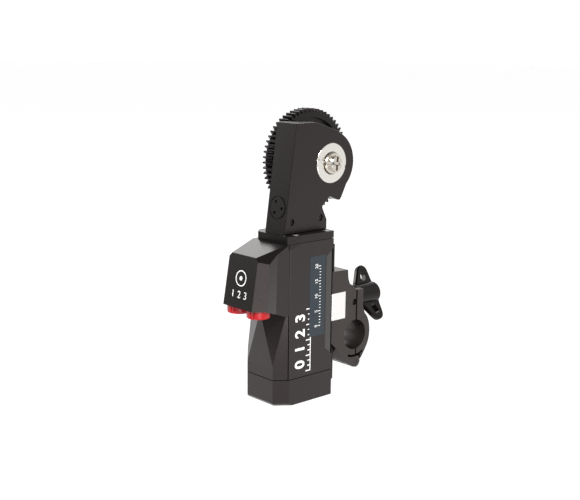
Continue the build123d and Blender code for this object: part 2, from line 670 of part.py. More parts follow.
def push_button():
    face = front_face_plane(BUTTON_Z)
    shape = face * Pos(0, 0, -BUTTON_THICK / 2) * Cylinder(BUTTON_R, BUTTON_THICK)
    stem = SWITCH_BOARD_DEEP - BUTTON_THICK - SWITCH_H - BUTTON_TRAVEL - SLIDE
    shape += face * Pos(0, 0, -BUTTON_THICK - stem / 2) * Cylinder(1.2, stem)
    return shape - face * Pos(0, 0, -0.3) * Cylinder(BUTTON_DOT_R + SEAT, 0.62)


def button_dot():
    face = front_face_plane(BUTTON_Z)
    return face * Pos(0, 0, -0.3) * Cylinder(BUTTON_DOT_R, 0.6)


def switch_board():
    """Small board behind the button, with the switch that the button presses."""
    face = front_face_plane(BUTTON_Z)
    centre = -SWITCH_BOARD_DEEP - BOARD / 2
    board = face * Pos(0, 0, centre) * Box(2 * BOX_ROOM_HALF - 1, SWITCH_BOARD_H, BOARD)
    switch = face * Pos(0, 0, -SWITCH_BOARD_DEEP + SWITCH_H / 2) * Box(SWITCH, SWITCH, SWITCH_H)
    return board + switch


def control_board():
    """Board on the posts of the main housing, with three flat components."""
    front = BOARD_Y - BOARD
    board = block(-BOARD_HALF, BOARD_HALF, front, BOARD_Y, BOX_ROOM_LOW + FREE, BOX_ROOM_TOP)
    for x, z, w, h in CHIPS:
        board += block(x - w / 2, x + w / 2, front - CHIP_HIGH, front + 0.1, z - h / 2, z + h / 2)
    return board


def sockets():
    """Two round receptacles, each with its insulator and contact pins."""
    found = []
    for side in (-1, 1):
        x = side * SOCKET_X
        body = rod_z(x, SOCKET_Y, SOCKET_R, SOCKET_TIP, SOCKET_TOP)
        body += rod_z(x, SOCKET_Y, SOCKET_FLANGE_R, BOX_ROOM_LOW, BOX_ROOM_LOW + 1.5)
        body -= rod_z(x, SOCKET_Y, SOCKET_BORE, SOCKET_TIP - 1, SOCKET_TOP - 1)
        for k in range(SOCKET_PINS):
            turn = radians(45 + 360 / SOCKET_PINS * k)
            px, py = x + SOCKET_PIN_RING * cos(turn), SOCKET_Y + SOCKET_PIN_RING * sin(turn)
            body += rod_z(px, py, SOCKET_PIN_R, PIN_TIP, SOCKET_TOP - 0.5)
        found.append(body)
    return found


def dust_cap(side):
    """Round cup that covers a receptacle, with finger notches in its rim."""
    x = side * SOCKET_X
    shape = rod_z(x, SOCKET_Y, CAP_R, CAP_LOW, POCKET_TOP - FREE)
    shape = fillet(shape.edges().group_by(Axis.Z)[0], 0.7)
    for k in range(CAP_NOTCHES):
        turn = radians(CAP_NOTCH_TURN + 360 / CAP_NOTCHES * k)
        nx, ny = x + (CAP_R + 0.1) * cos(turn), SOCKET_Y + (CAP_R + 0.1) * sin(turn)
        shape -= rod_z(nx, ny, CAP_NOTCH_R, CAP_LOW - 1, POCKET_TOP - 1.0)
    return shape - rod_z(x, SOCKET_Y, SOCKET_R + SLIDE, CAP_LOW + CAP_FLOOR, POCKET_TOP + 1)


# Motor and gearhead

def motor_can():
    shape = rod_z(0, MOTOR_Y, MOTOR_R, MOTOR_LOW, MOTOR_TOP)
    shape = chamfer(shape.edges().filter_by(GeomType.CIRCLE), 0.4)
    return shape - rod_z(0, MOTOR_Y, ROTOR_R + RUN, MOTOR_LOW - 1, MOTOR_LOW + ROTOR_IN + FREE)


def gearhead():
    """Reduction unit between motor and arm, hung from the flange."""
    shape = rod_z(0, MOTOR_Y, GEARHEAD_R, MOTOR_TOP, FLANGE_LOW)
    for z in [MOTOR_TOP + rise for rise in GEARHEAD_GROOVES]:
        groove = rod_z(0, MOTOR_Y, GEARHEAD_R + 1, z, z + 0.6)
        shape -= groove - rod_z(0, MOTOR_Y, GEARHEAD_R - 0.4, z - 1, z + 2)
    bore_end = FLANGE_LOW - PINION_SHAFT_IN - FREE
    return shape - rod_z(0, MOTOR_Y, PINION_SHAFT_R + RUN, bore_end, FLANGE_LOW + 1)


def rotor():
    shape = rod_z(0, MOTOR_Y, ROTOR_R, ENCODER_Z - 1.2, MOTOR_LOW + ROTOR_IN)
    disc_top = ENCODER_Z + ENCODER_THICK
    return shape + rod_z(0, MOTOR_Y, 2 * ROTOR_R, disc_top, disc_top + 2.2)


def encoder_disc():
    shape = rod_z(0, MOTOR_Y, ENCODER_R, ENCODER_Z, ENCODER_Z + ENCODER_THICK)
    shape -= rod_z(0, MOTOR_Y, ROTOR_R, ENCODER_Z - 1, ENCODER_Z + 2)
    slot_ring = ENCODER_R - 1.3
    for k in range(ENCODER_SLOTS):
        turn = radians(360 / ENCODER_SLOTS * k)
        place = Pos(slot_ring * cos(turn), MOTOR_Y + slot_ring * sin(turn), ENCODER_Z)
        place *= Rot(0, 0, degrees(turn))
        shape -= place * Box(1.2, 0.7, 4)
    return shape


def encoder_board():
    """Board under the encoder disc, with its reader."""
    half = ENCODER_POSTS[1][0] + POST_R
    y0, y1 = ENCODER_POSTS[0][1] - POST_R, ENCODER_POSTS[2][1] + POST_R
    top = ENCODER_BOARD_Z + BOARD
    reader_y = MOTOR_Y + ENCODER_R - 1.3
    reader = block(-2.2, 2.2, reader_y - 1.5, reader_y + 1.5, top, ENCODER_Z - FREE)
    return block(-half, half, y0, y1, ENCODER_BOARD_Z, top) + reader


# Gear outlines

def gear_outline(teeth, module, phase=0.0, backlash=0.04, addendum=1.0, dedendum=1.22):
    """Involute outline round the origin, with a tooth centred on the phase angle."""
    pitch_r = teeth * module / 2
    base_r = pitch_r * cos(radians(20))
    tip_r = pitch_r + addendum * module
    root_r = pitch_r - dedendum * module
    half_at_pitch = pi / teeth / 2 - backlash / pitch_r / 2
    roll = tan(radians(20)) - radians(20)

    def half_angle(radius):
        if radius <= base_r:
            return half_at_pitch + roll
        alpha = acos(base_r / radius)
        return half_at_pitch + roll - (tan(alpha) - alpha)

    start = max(root_r, base_r)
    steps = [start + (tip_r - start) * k / FLANK_STEPS for k in range(FLANK_STEPS + 1)]
    radii = [root_r] + steps if root_r < base_r else steps
    points = []
    for k in range(teeth):
        middle = phase + 2 * pi * k / teeth
        flank = [(r, half_angle(r)) for r in radii]
        left = [(r * cos(middle - a), r * sin(middle - a)) for r, a in flank]
        right = [(r * cos(middle + a), r * sin(middle + a)) for r, a in reversed(flank)]
        points += left + right
    return points


def train_gear(y, z, teeth, phase):
    """Spur gear of the train in the arm, on an axis along X."""
    outline = gear_outline(teeth, TRAIN_MODULE, phase, TRAIN_BACKLASH, TRAIN_ADDENDUM)
    return prism_x([(y + a, z + b) for a, b in outline], *TRAIN_SPAN)


def meshing_phase(own_teeth, own_phase, other_teeth, direction):
    """Phase of the next gear in the direction given, so that its gaps take the teeth."""
    own_share = ((direction - own_phase) / (2 * pi / own_teeth)) % 1.0
    other_share = (0.5 - own_share) % 1.0
    return direction + pi - other_share * 2 * pi / other_teeth


PINION_PHASE = TRAIN_TURN
IDLER_PHASE = meshing_phase(PINION_TEETH, PINION_PHASE, IDLER_TEETH, TRAIN_TURN)
OUTPUT_PHASE = meshing_phase(IDLER_TEETH, IDLER_PHASE, OUTPUT_TEETH, TRAIN_TURN)


def bevel(teeth, radius, depth, phase):
    """Bevel gear along Z: pitch circle at the height depth below the cone's tip."""
    outline = gear_outline(teeth, TRAIN_MODULE, phase, backlash=0.12, addendum=0.7, dedendum=1.1)
    big = Polyline(*outline, close=True)
    small = [(a * BEVEL_KEPT, b * BEVEL_KEPT) for a, b in outline]
    lower = Pos(0, 0, -depth) * make_face(big)
    upper = Pos(0, 0, -depth * BEVEL_KEPT) * make_face(Polyline(*small, close=True))
    return loft([lower, upper], ruled=True)


def bevel_wheel():
    """Bevel wheel on the lay shaft, its cone's tip on the motor axis."""
    phase = pi / BEVEL_WHEEL_TEETH
    cone = bevel(BEVEL_WHEEL_TEETH, BEVEL_WHEEL_R, BEVEL_PINION_R, phase)
    place = Plane(origin=(0, MOTOR_Y, LAY_Z), x_dir=(0, 0, -1), z_dir=(-1, 0, 0))
    return place * cone


def lay_shaft():
    """Lay shaft with the bevel wheel and the first spur pinion in one piece."""
    shape = rod_x(MOTOR_Y, LAY_Z, STUB_R, ARM_BACK + FREE, ARM_LID - FREE)
    shape += rod_x(MOTOR_Y, LAY_Z, BEVEL_WHEEL_R - 1.0, BEVEL_PINION_R - 0.1, BEVEL_PINION_R + 0.8)
    shape += bevel_wheel()
    shape += train_gear(MOTOR_Y, LAY_Z, PINION_TEETH, PINION_PHASE)
    return shape - rod_x(MOTOR_Y, LAY_Z, PIN_R + RUN, -ARM_HALF, ARM_HALF)


def lay_pin():
    return rod_x(MOTOR_Y, LAY_Z, PIN_R, ARM_BACK - 1.0, ARM_LID + 1.0)


def idler_pin():
    return rod_x(IDLER_Y, IDLER_Z, PIN_R, ARM_BACK - 1.0, ARM_LID + 1.0)


def idler_gear():
    """Idler between the lay shaft and the output gear."""
    shape = train_gear(IDLER_Y, IDLER_Z, IDLER_TEETH, IDLER_PHASE)
    shape += rod_x(IDLER_Y, IDLER_Z, IDLER_BOSS_R, ARM_BACK + FREE, ARM_LID - FREE)
    return shape - rod_x(IDLER_Y, IDLER_Z, PIN_R + RUN, -ARM_HALF, ARM_HALF)


def bevel_pinion():
    """Bevel pinion with its shaft, driven by the gearhead."""
    cone = bevel(BEVEL_PINION_TEETH, BEVEL_PINION_R, BEVEL_WHEEL_R, 0.0)
    shape = Pos(0, MOTOR_Y, LAY_Z) * cone
    foot = LAY_Z - BEVEL_WHEEL_R
    shape += rod_z(0, MOTOR_Y, BEVEL_PINION_R - 0.9, foot - 0.8, foot)
    return shape + rod_z(0, MOTOR_Y, PINION_SHAFT_R, FLANGE_LOW - PINION_SHAFT_IN, foot)


def output_gear():
    """Large gear on the output shaft, between the bearings."""
    shape = train_gear(AXIS_Y, AXIS_Z, OUTPUT_TEETH, OUTPUT_PHASE)
    return shape - rod_x(AXIS_Y, AXIS_Z, SHAFT_R, -ARM_HALF, ARM_HALF)


# Arm

def arm_outline(inset=0.0):
    """Side outline of the arm in (Y, Z)."""
    head = Pos(AXIS_Y, AXIS_Z) * Circle(HEAD_R)
    points = [
        (ARM_FOOT[0], FLANGE_TOP), (ARM_TOP[0], ARM_TOP_Z), (ARM_TOP[1], ARM_TOP_Z), HEAD_SLOPE_END,
        (AXIS_Y + HEAD_R * cos(radians(-10)), AXIS_Z + HEAD_R * sin(radians(-10))),
        *ARM_CHIN, (ARM_FOOT[1], FLANGE_TOP + 4.6), (ARM_FOOT[1], FLANGE_TOP),
    ]
    face = make_face(Polyline(*points, close=True))
    chin = face.vertices().filter_by(lambda v: (v.X, v.Y) in ARM_CHIN[1:])
    face = fillet(chin, 1.3)
    face = face + head
    return offset(face, -inset) if inset else face


def arm_solid(x0, x1, inset=0.0):
    return extrude(side_plane(x0) * arm_outline(inset), x1 - x0)


def flange():
    """Mounting flange, with a narrow groove round its lower edge."""
    points = [
        (FLANGE_RIGHT, FLANGE_FRONT_Y), (HALF_WIDTH, FLANGE_BEND_Y), (HALF_WIDTH, FLANGE_REAR_Y),
        (-HALF_WIDTH, FLANGE_REAR_Y), (-HALF_WIDTH, FLANGE_FRONT_Y + 3.4), (FLANGE_LEFT, FLANGE_FRONT_Y),
    ]
    shape = prism_z(points, FLANGE_LOW, FLANGE_TOP)
    outline = make_face(Polyline(*points, close=True))
    rim = outline - offset(outline, -SEAL_INSET)
    shape -= extrude(Pos(0, 0, FLANGE_LOW - 1) * rim, 1 + SEAL)
    for x, y in CORNER_SCREWS:
        shape -= rod_z(x, y, SCREW_SHANK + SCREW_ROOM, FLANGE_LOW - 1, FLANGE_TOP + 1)
        seat = FLANGE_TOP - SCREW_HEAD_H - SCREW_ROOM
        shape -= rod_z(x, y, SCREW_HEAD + SCREW_ROOM, seat, FLANGE_TOP + 1)
    return shape


def arm_housing():
    """Flange and arm in one piece, open toward +X under the cover."""
    shape = arm_solid(-ARM_HALF, ARM_LID)
    shape -= arm_solid(ARM_BACK, ARM_LID + 1, ARM_WALL)
    shape += flange()
    shape -= rod_z(0, MOTOR_Y, BEVEL_PINION_R + 1.0, FLANGE_LOW - 1, FLANGE_TOP + 6)
    for y, z in ARM_SCREWS:
        boss = rod_x(y, z, ARM_SCREW_BOSS_R, ARM_BACK - 0.1, ARM_LID)
        shape += boss & arm_solid(-ARM_HALF, ARM_LID, 0.2)
        shape -= rod_x(y, z, ARM_SCREW_R + RUN, 0, ARM_LID + 1)
    for y, z in ((MOTOR_Y, LAY_Z), (IDLER_Y, IDLER_Z)):
        shape -= rod_x(y, z, PIN_R + SEAT, ARM_BACK - PIN_SEAT_DEEP, ARM_BACK + 1)
    seat_r = BEARING_R + BEARING_SEAT_WALL
    shape += rod_x(AXIS_Y, AXIS_Z, seat_r, ARM_BACK - 0.1, BEARING_LEFT + BEARING_WIDTH - 0.8)
    shape -= rod_x(AXIS_Y, AXIS_Z, BEARING_R + SEAT, BEARING_LEFT, 0)
    shape -= rod_x(AXIS_Y, AXIS_Z, SHAFT_R + 1.6, -ARM_HALF - 1, 0)
    return shape - plug_recess()


def plug_recess():
    """Round recess for the plug in the arm's front."""
    depth = PLUG_THICK - PLUG_PROUD
    return arm_front_plane(PLUG_Z) * Cylinder(PLUG_R + SEAT, 2 * depth)


def arm_front_plane(z):
    """Plane on the arm's leaning front face at a height."""
    share = (z - FLANGE_TOP) / (ARM_TOP_Z - FLANGE_TOP)
    y = ARM_FOOT[0] + share * (ARM_TOP[0] - ARM_FOOT[0])
    out = (0, -(ARM_TOP_Z - FLANGE_TOP), ARM_TOP[0] - ARM_FOOT[0])
    return Plane(origin=(0, y, z), x_dir=(1, 0, 0), z_dir=out)


def arm_cover():
    """Side plate that closes the arm and holds the second bearing."""
    shape = arm_solid(ARM_LID, ARM_HALF)
    shape = chamfer(shape.faces().sort_by(Axis.X)[-1].outer_wire().edges(), ARM_CHAMFER)
    shape += rod_x(AXIS_Y, AXIS_Z, BEARING_R + BEARING_SEAT_WALL, BEARING_RIGHT + 0.8, ARM_LID)
    shape -= rod_x(AXIS_Y, AXIS_Z, BEARING_R + SEAT, 0, BEARING_RIGHT + BEARING_WIDTH)
    shape -= rod_x(AXIS_Y, AXIS_Z, RETAINER_R + SEAT, ARM_HALF - RETAINER_THICK, ARM_HALF + 1)
    for y, z in ((MOTOR_Y, LAY_Z), (IDLER_Y, IDLER_Z)):
        shape -= rod_x(y, z, PIN_R + SEAT, ARM_LID - 1, ARM_LID + PIN_SEAT_DEEP)
    for y, z in ARM_SCREWS:
        shape -= rod_x(y, z, ARM_SCREW_R + SCREW_ROOM, ARM_LID - 1, ARM_HALF + 1)
        seat = ARM_HALF - ARM_SCREW_HEAD_H - ARM_SCREW_DEEP
        shape -= rod_x(y, z, ARM_SCREW_HEAD + SCREW_ROOM, seat, ARM_HALF + 1)
    return shape - plug_recess()


def arm_screws():
    """Small cap screws that hold the cover, just under its face."""
    one = socket_screw(ARM_SCREW_HEAD, ARM_SCREW_HEAD_H, ARM_SCREW_R, ARM_SCREW_LENGTH, ARM_SCREW_HEAD / 2)
    return [along_x(one, ARM_HALF - ARM_SCREW_DEEP, y, z) for y, z in ARM_SCREWS]


def front_plug():
    """Round plug in the arm's front, with a groove and three spanner holes."""
    face = arm_front_plane(PLUG_Z)
    shape = face * Pos(0, 0, PLUG_PROUD - PLUG_THICK / 2) * Cylinder(PLUG_R, PLUG_THICK - SEAT)
    groove = Cylinder(PLUG_R - 0.12, 0.9) - Cylinder(PLUG_R - 0.5, 1.0)
    shape -= face * Pos(0, 0, PLUG_PROUD) * groove
    for k in range(3):
        turn = radians(PLUG_HOLE_TURN + 120 * k)
        hole = Cylinder(PLUG_HOLE_R, PLUG_THICK)
        shape -= face * Pos(PLUG_HOLE_RING * cos(turn), PLUG_HOLE_RING * sin(turn), 0) * hole
    return shape


# Output shaft, bearings and drive gear

def output_shaft():
    """Hollow-ended output shaft with a collar against the left bearing."""
    shape = rod_x(AXIS_Y, AXIS_Z, SHAFT_R, GEAR_FAR + 1.0, ARM_HALF - RETAINER_THICK)
    shape += rod_x(AXIS_Y, AXIS_Z, SHAFT_R + 1.3, 0.2 - ARM_HALF, BEARING_LEFT - SEAT)
    shape -= rod_x(AXIS_Y, AXIS_Z, COLLET_SCREW_R, ARM_HALF - 7, ARM_HALF)
    return shape - rod_x(AXIS_Y, AXIS_Z, END_SCREW_R, GEAR_FAR, GEAR_FAR + 6)


def bearing_places():
    """Near and far X of the two bearings."""
    return [(x, x + BEARING_WIDTH) for x in (BEARING_LEFT, BEARING_RIGHT)]


def bearing_rings(outer, inner):
    """One ring for each bearing, with the groove that the balls run in."""
    found = []
    for x0, x1 in bearing_places():
        ring = ring_x(AXIS_Y, AXIS_Z, outer, inner, x0, x1)
        middle = side_plane((x0 + x1) / 2) * Pos(AXIS_Y, AXIS_Z, 0)
        found.append(ring - middle * Torus(RACE_R, BALL_R + RUN))
    return found


def bearing_balls():
    found = []
    for x0, x1 in bearing_places():
        for k in range(BALLS):
            turn = 2 * pi * k / BALLS
            y, z = AXIS_Y + RACE_R * cos(turn), AXIS_Z + RACE_R * sin(turn)
            found.append(Pos((x0 + x1) / 2, y, z) * Sphere(BALL_R))
    return found


def bearing_retainer():
    """Bright round nut in the cover, with two spanner notches."""
    x0, x1 = ARM_HALF - RETAINER_THICK, ARM_HALF + RETAINER_PROUD
    shape = ring_x(AXIS_Y, AXIS_Z, RETAINER_R, RETAINER_BORE, x0, x1)
    shape = chamfer(shape.edges().filter_by(GeomType.CIRCLE).sort_by(Axis.X)[-2:], 0.25)
    deep, wide = NOTCH
    for turn in (NOTCH_TURN, NOTCH_TURN + 180):
        place = side_plane(x1) * Pos(AXIS_Y, AXIS_Z, 0) * Rot(0, 0, turn)
        shape -= place * Pos(RETAINER_R, 0, 0) * Box(2 * deep, wide, 2 * RETAINER_PROUD)
    return shape


def shaft_collet():
    """Stepped end piece of the shaft inside the retainer, with a slotted nose."""
    x0, x1 = ARM_HALF - RETAINER_THICK + SEAT, COLLET_END - COLLET_NOSE
    shape = rod_x(AXIS_Y, AXIS_Z, COLLET_R, x0, x1)
    shape = chamfer(shape.edges().filter_by(GeomType.CIRCLE).sort_by(Axis.X)[-1:], 0.3)
    nose = rod_x(AXIS_Y, AXIS_Z, COLLET_NOSE_R, x1, COLLET_END)
    shape += chamfer(nose.edges().filter_by(GeomType.CIRCLE).sort_by(Axis.X)[-1:], 0.2)
    for k in range(2):
        place = side_plane(COLLET_END) * Pos(AXIS_Y, AXIS_Z, 0) * Rot(0, 0, COLLET_TURN + 90 * k)
        shape -= place * Box(2 * COLLET_NOSE_R + 1, COLLET_SLOT, 2 * COLLET_SLOT_DEEP)
    return shape - rod_x(AXIS_Y, AXIS_Z, COLLET_SCREW_R + RUN, x0 - 1, COLLET_END + 1)


def collet_screw():
    """Headless screw that holds the end piece on the shaft."""
    top = COLLET_END - COLLET_SLOT_DEEP - 0.2
    shape = rod_x(AXIS_Y, AXIS_Z, COLLET_SCREW_R - SEAT, ARM_HALF - 6, top)
    socket = side_plane(top) * Pos(AXIS_Y, AXIS_Z, 0) * RegularPolygon(COLLET_SCREW_R * 0.6, 6)
    return shape - extrude(socket, -0.9)


def drive_gear():
    """Sixty-tooth drive gear with a flat rim and a recessed web."""
    outline = gear_outline(GEAR_TEETH, GEAR_MODULE, dedendum=1.15)
    shape = prism_x([(AXIS_Y + a, AXIS_Z + b) for a, b in outline], GEAR_FAR, GEAR_NEAR)
    side = (GEAR_FACE - WEB) / 2
    for x0, x1 in ((GEAR_FAR - 1, GEAR_FAR + side), (GEAR_NEAR - side, GEAR_NEAR + 1)):
        shape -= ring_x(AXIS_Y, AXIS_Z, RIM_R, HUB_R, x0, x1)
    for k in range(WEB_HOLES):
        turn = 2 * pi * k / WEB_HOLES
        y, z = AXIS_Y + WEB_HOLE_RING * cos(turn), AXIS_Z + WEB_HOLE_RING * sin(turn)
        shape -= rod_x(y, z, WEB_HOLE_R, GEAR_FAR - 1, GEAR_NEAR + 1)
    for y, z in gear_screw_places():
        shape -= rod_x(y, z, 0.85, GEAR_FAR - 1, GEAR_NEAR + 1)
        shape -= rod_x(y, z, 1.6, GEAR_FAR - 1, GEAR_FAR + 1.3)
    return shape - rod_x(AXIS_Y, AXIS_Z, SHAFT_R, GEAR_FAR - 1, GEAR_NEAR + 1)


def gear_screw_places():
    turns = [radians(90 + 120 * k) for k in range(3)]
    return [(AXIS_Y + GEAR_SCREW_RING * cos(t), AXIS_Z + GEAR_SCREW_RING * sin(t)) for t in turns]


def gear_hub():
    """Flanged hub on the shaft behind the gear, which the gear is screwed to."""
    shape = ring_x(AXIS_Y, AXIS_Z, HUB_R - 0.4, SHAFT_R, GEAR_NEAR, GEAR_NEAR + HUB_PLATE)
    for y, z in gear_screw_places():
        shape -= rod_x(y, z, 0.8, GEAR_NEAR - 1, GEAR_NEAR + HUB_PLATE + 1)
    return shape


def gear_screws():
    """Three screws through the gear into the hub plate."""
    one = socket_screw(1.5, 1.2, 0.78, GEAR_FACE - 1.3 + HUB_PLATE - 0.1, 0.75)
    return [along_x(one, GEAR_FAR + 0.1, y, z, -1) for y, z in gear_screw_places()]


def shaft_end_screw():
    """Screw and washer on the end of the shaft, in one piece."""
    shank_r, hex_r = END_SCREW_R - SEAT, END_SCREW_HEAD / 2
    one = socket_screw(END_SCREW_HEAD, END_SCREW_HEAD_H, shank_r, END_SCREW_LENGTH, hex_r)
    screw = along_x(one, GEAR_FAR - END_WASHER - END_SCREW_HEAD_H, AXIS_Y, AXIS_Z, -1)
    return screw + ring_x(AXIS_Y, AXIS_Z, END_WASHER_R, END_SCREW_R - 0.1, GEAR_FAR - END_WASHER, GEAR_FAR)


# Rear rail and rod clamp

def rear_rail():
    """Vertical T-shaped rail on the rear face, which the clamp slides on."""
    shape = block(-RAIL_NECK, RAIL_NECK, REAR_Y, RAIL_NECK_Y + 0.1, *RAIL_Z)
    shape += block(-RAIL_HEAD, RAIL_HEAD, RAIL_NECK_Y, RAIL_Y, *RAIL_Z)
    for x, z in RAIL_SCREWS:
        shape -= rod_y(x, z, SCREW_SHANK + SCREW_ROOM, REAR_Y - 1, RAIL_Y + 1)
        shape -= rod_y(x, z, SCREW_HEAD + SCREW_ROOM, RAIL_Y - SCREW_HEAD_H - SCREW_ROOM, RAIL_Y + 1)
    return shape


def rail_screws():
    """Four cap screws that hold the rail, with their heads under its face."""
    head = RAIL_Y - SCREW_ROOM
    length = head - SCREW_HEAD_H - REAR_Y + RAIL_SCREW_DEEP - 0.2
    one = socket_screw(SCREW_HEAD, SCREW_HEAD_H, SCREW_SHANK, length, SCREW_HEAD * 0.5)
    found = []
    for x, z in RAIL_SCREWS:
        found.append(Plane(origin=(x, head, z), x_dir=(1, 0, 0), z_dir=(0, 1, 0)) * one)
    return found


def clamp_profile():
    """Side outline of the fixed half in (Y, Z), without the ring."""
    return [
        (CLAMP_FRONT, CLAMP_TOP), *CLAMP_BACK, (SPLIT_Y, SLIT_TOP), (SPLIT_Y, HINGE_Z - KNUCKLE_R + 0.2),
        *CLAMP_FOOT, (CLAMP_FRONT, CLAMP_LIP_LOW),
    ]


def eye_room():
    """Room for the screw's eye and shank in the fixed half."""
    half = EYE_HALF + SLIDE
    reach = EYE_R + FREE
    return block(-half, half, PIVOT_Y - reach, SPLIT_Y + 1, PIVOT_Z - reach, CLAMP_TOP)


def rod_bore():
    """Bore for the rod, with a chamfer at each end."""
    shape = rod_x(ROD_Y, ROD_Z, ROD_R, -BIG, BIG)
    wide = ROD_R + 2 * ROD_CHAMFER
    for side in (-1, 1):
        cone = Cone(ROD_R - ROD_CHAMFER, wide, 3 * ROD_CHAMFER)
        shape += along_x(cone, side * (CLAMP_HALF + ROD_CHAMFER / 2), ROD_Y, ROD_Z, side)
    return shape


def rail_room():
    """Channel that holds the rail's head behind the clamp's lips."""
    neck, head = RAIL_NECK + SLIDE, RAIL_HEAD + SLIDE
    shape = block(-neck, neck, 0, RAIL_NECK_Y, 0, BIG / 2)
    return shape + block(-head, head, RAIL_NECK_Y - SLIDE, RAIL_Y + SLIDE, 0, BIG / 2)


def clamp_console():
    """Fixed half of the rod clamp, which slides on the rear rail."""
    shape = prism_x(clamp_profile(), -CLAMP_HALF, CLAMP_HALF)
    shape += rod_x(ROD_Y, ROD_Z, RING_R, -CLAMP_HALF, CLAMP_HALF)
    shape -= block(-BIG, BIG, SPLIT_Y, BIG, -BIG, BIG)
    shape += rod_x(HINGE_Y, HINGE_Z, KNUCKLE_R, -CLAMP_HALF, CLAMP_HALF)
    upper = [(CLAMP_HALF, y, z) for y, z in FACET]
    lower = (CLAMP_HALF - FACET_LOW[0], *FACET_LOW[1:])
    shape = trim_by(shape, *upper, lower, (1, 0, -1))
    shape -= rod_bore() + crescent()
    half = TONGUE_HALF + SLIDE
    shape -= rod_x(HINGE_Y, HINGE_Z, KNUCKLE_R + FREE, -half, half)
    shape -= block(-half, half, HINGE_Y, BIG / 2, -BIG / 2, ROD_Z - ROD_R)
    shape -= rod_x(HINGE_Y, HINGE_Z, HINGE_R + SEAT, -BIG, BIG)
    shape -= eye_room()
    shape -= rod_x(PIVOT_Y, PIVOT_Z, PIVOT_R + SEAT, -BIG, BIG)
    return shape - release_room() - rail_room()


def crescent():
    """Gap under the ring, above the hinge."""
    ring = ring_x(ROD_Y, ROD_Z, RING_R + CRESCENT_GAP, RING_R, -BIG, BIG)
    return ring & block(-BIG / 2, BIG / 2, *CRESCENT_Y, 0, ROD_Z - 5)


def release_room():
    """Pocket for the release block, open toward +X and beside the rail."""
    z0, z1 = RELEASE_Z[0] - SLIDE, RELEASE_Z[1] + SLIDE
    y1 = RELEASE_Y[1] + SLIDE
    plate = CLAMP_HALF + RELEASE_PROUD - RELEASE_PLATE - RELEASE_TRAVEL - SLIDE
    deep = CLAMP_HALF - RELEASE_DEPTH - RELEASE_TRAVEL - FREE
    shape = block(plate, BIG / 2, 0, y1, z0, z1)
    return shape + block(deep, BIG / 2, RELEASE_BODY_Y - SLIDE, y1, z0, z1)


def release_block():
    """Bright block that is pressed in to free the clamp on its rail."""
    x0 = CLAMP_HALF - RELEASE_DEPTH
    x1 = CLAMP_HALF + RELEASE_PROUD
    shape = block(x1 - RELEASE_PLATE, x1, *RELEASE_Y, *RELEASE_Z)
    shape += block(x0, x1, RELEASE_BODY_Y, RELEASE_Y[1], *RELEASE_Z)
    shape = chamfer(shape.edges().filter_by(Axis.Z).group_by(Axis.X)[-1], 0.3)
    return shape - rod_x(*RELEASE_MIDDLE, SPRING_HOLE_R, x0 - 1, x0 + SPRING_HOLE)


def release_spring():
    """Coil spring behind the release block."""
    start = CLAMP_HALF - RELEASE_DEPTH - RELEASE_TRAVEL - FREE + SPRING_WIRE + SEAT
    length = SPRING_HOLE + FREE - 2 * (SPRING_WIRE + SEAT) - SLIDE
    path = Helix(length / SPRING_TURNS, length, SPRING_HOLE_R - 2 * SPRING_WIRE)
    wire = Plane(origin=path @ 0, z_dir=path % 0) * Circle(SPRING_WIRE)
    coil = sweep(wire, path=path, is_frenet=True)
    return side_plane(start) * Pos(*RELEASE_MIDDLE, 0) * coil


def jaw_outline():
    """Side outline of the jaw in (Y, Z), with the ear above and the tail below."""
    y0 = SPLIT_Y + SPLIT_GAP
    face_y = PIVOT_Y + EAR_R
    tail = JAW_BACK[-1]
    back = Spline(*JAW_BACK)
    foot = Polyline(tail, (tail[0] - 1.2, tail[1] - 1.2), (y0, tail[1] - 1.2), (y0, SLIT_TOP),
                    (face_y, SLIT_TOP), (face_y, EAR_LOW), JAW_BACK[0])
    return make_face(Wire([*back.edges(), *foot.edges()]))


def clamp_jaw():
    """Hinged outer half of the rod clamp, with a forked ear at the top."""
    shape = extrude(side_plane(-CLAMP_HALF) * jaw_outline(), 2 * CLAMP_HALF)
    washer_half = max(WASHER_R, KNOB_HUB_R) + FREE
    swing = block(-washer_half, washer_half, PIVOT_Y, BIG / 2, PIVOT_Z, BIG / 2)
    swing -= rod_x(PIVOT_Y, PIVOT_Z, EAR_R, -BIG, BIG)
    rest = block(-washer_half, washer_half, PIVOT_Y + EAR_R, BIG / 2, PIVOT_Z - washer_half, PIVOT_Z + 1)
    shape -= swing + rest
    shape -= crescent()
    below = block(-BIG / 2, BIG / 2, 0, JAW_BACK[-1][0] - 0.8, 0, ROD_Z - RING_R + 1)
    below -= rod_x(ROD_Y, ROD_Z, RING_R + CRESCENT_GAP, -BIG, BIG)
    below += rod_x(HINGE_Y, HINGE_Z, KNUCKLE_R + FREE, -BIG / 2, BIG / 2)
    middle = block(-TONGUE_HALF, TONGUE_HALF, 0, BIG / 2, 0, BIG / 2)
    shape -= below - middle
    shape += rod_x(HINGE_Y, HINGE_Z, KNUCKLE_R, -TONGUE_HALF, TONGUE_HALF)
    shape -= rod_bore()
    shape -= crescent()
    shape -= rod_x(HINGE_Y, HINGE_Z, HINGE_R + RUN, -BIG, BIG)
    half = EYE_HALF + 0.2
    return shape - block(-half, half, 0, BIG / 2, PIVOT_Z - STUD_R - 0.7, BIG / 2)


def hinge_pin():
    return rod_x(HINGE_Y, HINGE_Z, HINGE_R, -CLAMP_HALF + 0.1, CLAMP_HALF - 0.1)


def pivot_pin():
    end = CLAMP_HALF - PIVOT_DEEP
    return rod_x(PIVOT_Y, PIVOT_Z, PIVOT_R, -end, end)


